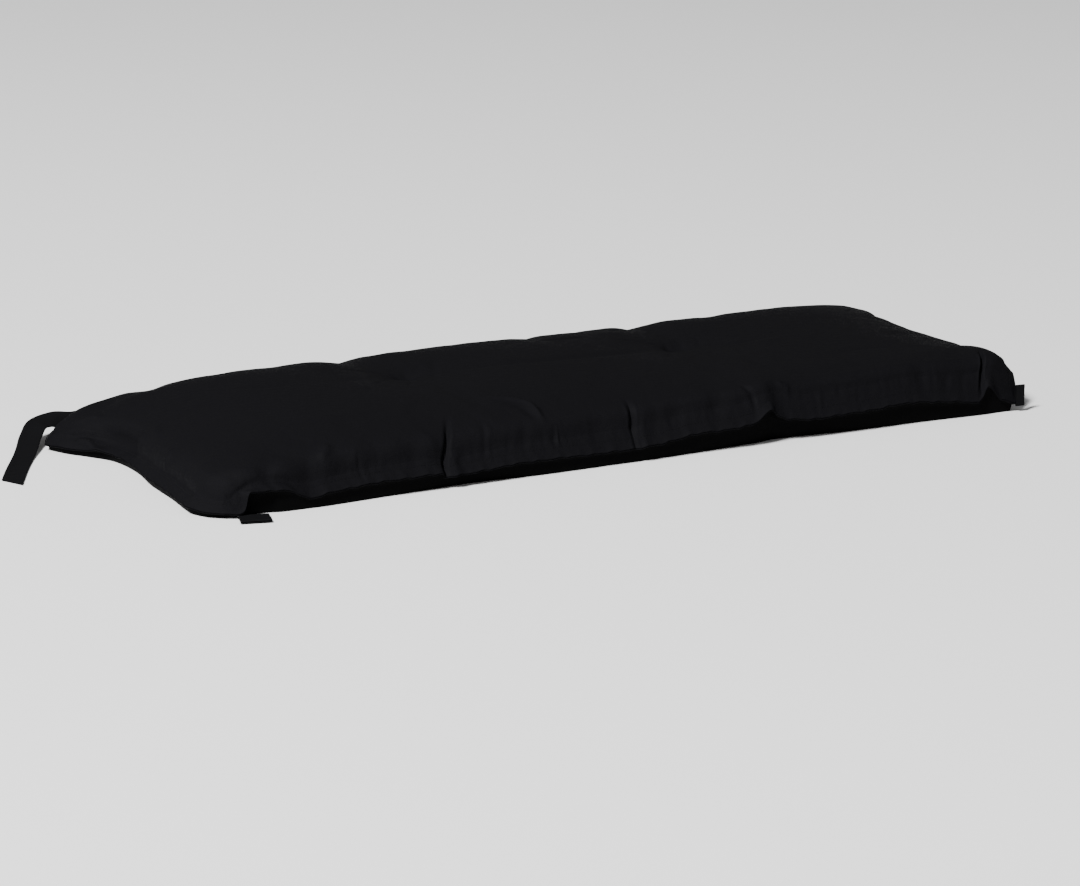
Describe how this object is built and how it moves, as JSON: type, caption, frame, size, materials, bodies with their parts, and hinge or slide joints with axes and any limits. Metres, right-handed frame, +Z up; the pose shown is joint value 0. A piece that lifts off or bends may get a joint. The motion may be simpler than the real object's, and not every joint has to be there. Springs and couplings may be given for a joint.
{
  "type": "bench cushion",
  "caption": "Long knife-edge bench cushion in plain black cloth, crowned and tufted, with tape ties at its back corners and folded tabs at its front corners.",
  "frame": {"origin": "middle of the cushion's flat underside, on the surface that it lies on", "axes": "+X along the cushion to its right end seen from the front, +Y to its back edge, +Z up out of its face"},
  "size_m": [1.3299, 0.6234, 0.0878],
  "materials": {
    "black_cloth": "matt black plain weave, fine yarn, soft sheen at a low angle",
    "black_tape": "matt black tape with folded, stitched edges"
  },
  "bodies": {
    "root": {"cushion": "black_cloth", "tie_back_left_long": "black_tape", "tie_back_left_short": "black_tape", "tie_back_right_long": "black_tape", "tie_back_right_short": "black_tape", "tab_front_left": "black_tape", "tab_front_right": "black_tape"}
  },
  "joints": []
}
